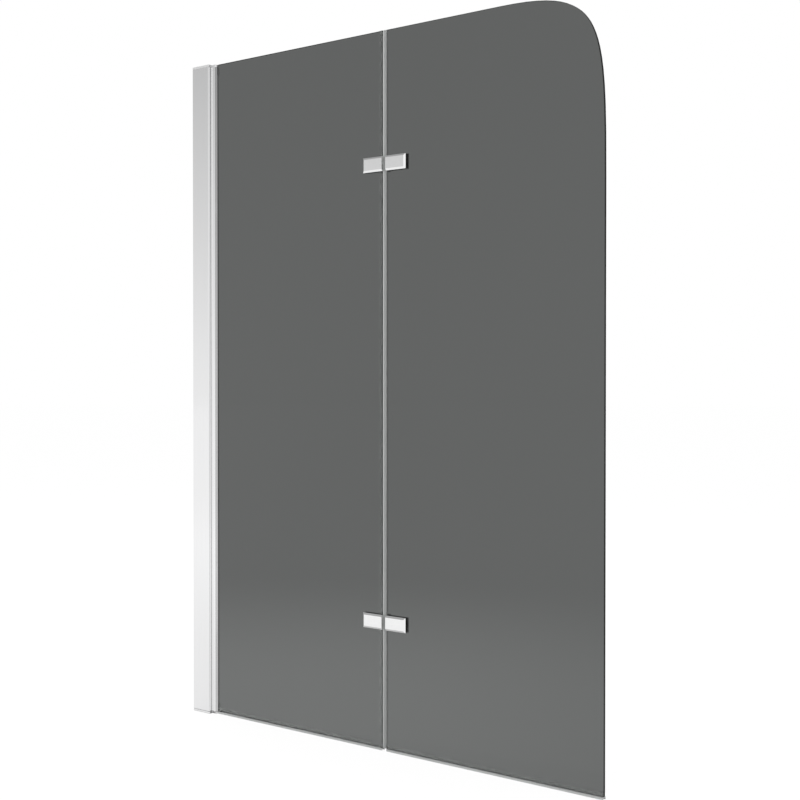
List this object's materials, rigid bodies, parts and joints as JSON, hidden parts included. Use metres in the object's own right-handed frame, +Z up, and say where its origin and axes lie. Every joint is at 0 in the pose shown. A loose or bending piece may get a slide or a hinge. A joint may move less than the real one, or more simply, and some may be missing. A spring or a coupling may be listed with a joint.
{
  "type": "bath screen",
  "caption": "Folding bath screen: a slim wall post carries a smoked glass pane that swings, and an outer pane with a swept top corner folds flat behind it on clamped hinges.",
  "frame": {"origin": "on the wall face, in the middle of the post, at the level of the bath rim", "axes": "+X from the wall to the free edge, -Y towards the pictured side, +Z up"},
  "size_m": [1, 0.0379, 1.4],
  "materials": {
    "smoked_glass": "smoked grey toughened glass, polished edges",
    "bright_aluminium": "polished and bright anodised extrusion",
    "mill_aluminium": "mill finish extrusion",
    "chromed_brass": "polished chrome plate",
    "silver_plastic": "moulded plastic with a bright metallised coat",
    "clear_pvc": "translucent flexible PVC",
    "black_rubber": "black EPDM",
    "grey_acetal": "turned acetal",
    "black_nylon": "moulded nylon",
    "stainless_steel": "turned stainless steel"
  },
  "bodies": {
    "wall_mount": {"wall_channel": "mill_aluminium"},
    "post": {"wall_post": "bright_aluminium", "top_end_cap": "silver_plastic", "bottom_end_cap": "silver_plastic", "top_cap_screws": "stainless_steel", "bottom_cap_screws": "stainless_steel", "clamp_screws": "stainless_steel", "clamp_nut_plates": "stainless_steel", "clamp_screw_covers": "silver_plastic", "upper_pivot_bearing": "grey_acetal", "lower_pivot_bearing": "grey_acetal", "pivot_thrust_washer": "grey_acetal"},
    "inner_panel": {"fold_seal": "clear_pvc", "glazing_gasket": "black_rubber", "inner_bottom_seal": "clear_pvc", "inner_glass": "smoked_glass", "lower_hinge_inner_back_leaf": "chromed_brass", "lower_hinge_inner_back_pad": "black_rubber", "lower_hinge_inner_front_pad": "black_rubber", "lower_hinge_inner_front_plate": "chromed_brass", "lower_hinge_inner_screws": "stainless_steel", "lower_hinge_pin": "stainless_steel", "lower_pivot_pin": "stainless_steel", "lower_pivot_plug": "black_nylon", "pivot_profile": "bright_aluminium", "plug_grub_screws": "stainless_steel", "upper_hinge_inner_back_leaf": "chromed_brass", "upper_hinge_inner_back_pad": "black_rubber", "upper_hinge_inner_front_pad": "black_rubber", "upper_hinge_inner_front_plate": "chromed_brass", "upper_hinge_inner_screws": "stainless_steel", "upper_hinge_pin": "stainless_steel", "upper_pivot_pin": "stainless_steel", "upper_pivot_plug": "black_nylon"},
    "outer_panel": {"lower_hinge_bush": "black_nylon", "lower_hinge_outer_back_leaf": "chromed_brass", "lower_hinge_outer_back_pad": "black_rubber", "lower_hinge_outer_front_pad": "black_rubber", "lower_hinge_outer_front_plate": "chromed_brass", "lower_hinge_outer_screws": "stainless_steel", "outer_bottom_seal": "clear_pvc", "outer_glass": "smoked_glass", "upper_hinge_bush": "black_nylon", "upper_hinge_outer_back_leaf": "chromed_brass", "upper_hinge_outer_back_pad": "black_rubber", "upper_hinge_outer_front_pad": "black_rubber", "upper_hinge_outer_front_plate": "chromed_brass", "upper_hinge_outer_screws": "stainless_steel"}
  },
  "joints": [
    {"name": "width_adjust", "type": "slide", "parent": "wall_mount", "child": "post", "axis": [1, 0, 0], "range_m": [0, 0.015]},
    {"name": "wall_pivot", "type": "hinge", "parent": "post", "child": "inner_panel", "pos_m": [0.05425, 0, 0], "axis": [0, 0, 1], "range_deg": [-90, 0]},
    {"name": "fold", "type": "hinge", "parent": "inner_panel", "child": "outer_panel", "pos_m": [0.521, 0.0115, 0], "axis": [0, 0, 1], "range_deg": [0, 180]}
  ]
}
